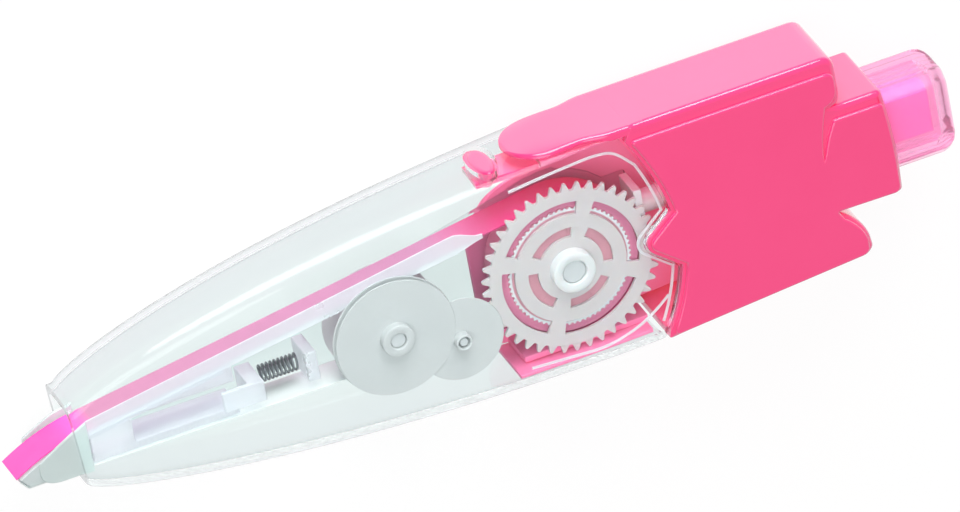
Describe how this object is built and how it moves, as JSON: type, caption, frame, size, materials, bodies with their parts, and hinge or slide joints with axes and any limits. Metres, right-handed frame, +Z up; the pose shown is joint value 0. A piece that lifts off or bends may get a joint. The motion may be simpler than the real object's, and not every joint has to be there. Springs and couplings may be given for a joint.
{
  "type": "highlighter tape",
  "caption": "Pen-shaped highlighter tape with a clear front shell, a coloured rear case, geared tape reels and a knob that slides the tape head in and out.",
  "frame": {"origin": "middle of the base, on the surface that the tool lies on with its gear side up", "axes": "+X from the tape tip to the knob, +Y from the keel to the back with the tongue, +Z up through the thickness"},
  "size_m": [0.1228, 0.0308, 0.0124],
  "materials": {
    "pink_plastic": "gloss",
    "clear_plastic": "clear gloss",
    "frosted_plastic": "frosted",
    "white_plastic": "satin",
    "magenta_plastic": "translucent gloss",
    "tape_film": "film",
    "liner_paper": "film",
    "spring_steel": "bright",
    "grey_plastic": "satin"
  },
  "bodies": {
    "case": {"front_shell": "clear_plastic", "rear_case": "pink_plastic", "chassis": "pink_plastic", "knock_guide": "white_plastic", "spring_seat": "clear_plastic", "return_spring": "spring_steel"},
    "cartridge": {"cartridge_plate": "clear_plastic", "head_holder": "clear_plastic", "applicator_head": "frosted_plastic", "spring_post": "clear_plastic", "push_rod": "white_plastic", "tape": "tape_film", "liner": "liner_paper", "supply_axle": "grey_plastic", "take_up_axle": "grey_plastic", "idler_axle": "grey_plastic"},
    "knock": {"knock_cap": "magenta_plastic", "knock_core": "magenta_plastic", "cam_rotor": "white_plastic"},
    "release": {"release_tab": "pink_plastic"},
    "supply_drive": {"supply_gear": "white_plastic"},
    "supply_reel": {"supply_drum": "frosted_plastic", "tape_roll": "tape_film", "clutch_washer": "frosted_plastic"},
    "idler": {"idler_gear": "frosted_plastic"},
    "take_up": {"take_up_gear": "frosted_plastic", "take_up_spool": "frosted_plastic", "liner_roll": "liner_paper"}
  },
  "joints": [
    {"name": "cartridge_slide", "type": "slide", "parent": "case", "child": "cartridge", "axis": [1, 0, 0], "range_m": [-0.0012, 0.01], "deforming": ["return_spring"]},
    {"name": "knock_slide", "type": "slide", "parent": "case", "child": "knock", "axis": [1, 0, 0], "range_m": [-0.0012, 0.01]},
    {"name": "release_press", "type": "hinge", "parent": "case", "child": "release", "pos_m": [0.00996, 0.01223, 0.0062], "axis": [0, 0, 1], "range_deg": [0, 6], "stiffness_Nm_per_rad": 0.13},
    {"name": "supply_spin", "type": "hinge", "parent": "cartridge", "child": "supply_drive", "pos_m": [0.01126, -0.00228, 0.0062], "axis": [0, 0, 1], "continuous": true},
    {"name": "reel_spin", "type": "hinge", "parent": "cartridge", "child": "supply_reel", "pos_m": [0.01126, -0.00228, 0.0062], "axis": [0, 0, 1], "continuous": true},
    {"name": "idler_spin", "type": "hinge", "parent": "cartridge", "child": "idler", "pos_m": [-0.00395, -0.00658, 0.0062], "axis": [0, 0, 1], "continuous": true},
    {"name": "take_up_spin", "type": "hinge", "parent": "cartridge", "child": "take_up", "pos_m": [-0.01197, -0.00328, 0.0062], "axis": [0, 0, 1], "continuous": true}
  ],
  "couplings": [
    {"joint": "knock_slide", "follows": "cartridge_slide", "ratio": 1},
    {"joint": "reel_spin", "follows": "supply_spin", "ratio": 1.2857},
    {"joint": "idler_spin", "follows": "supply_spin", "ratio": -2.1},
    {"joint": "take_up_spin", "follows": "supply_spin", "ratio": 3}
  ]
}
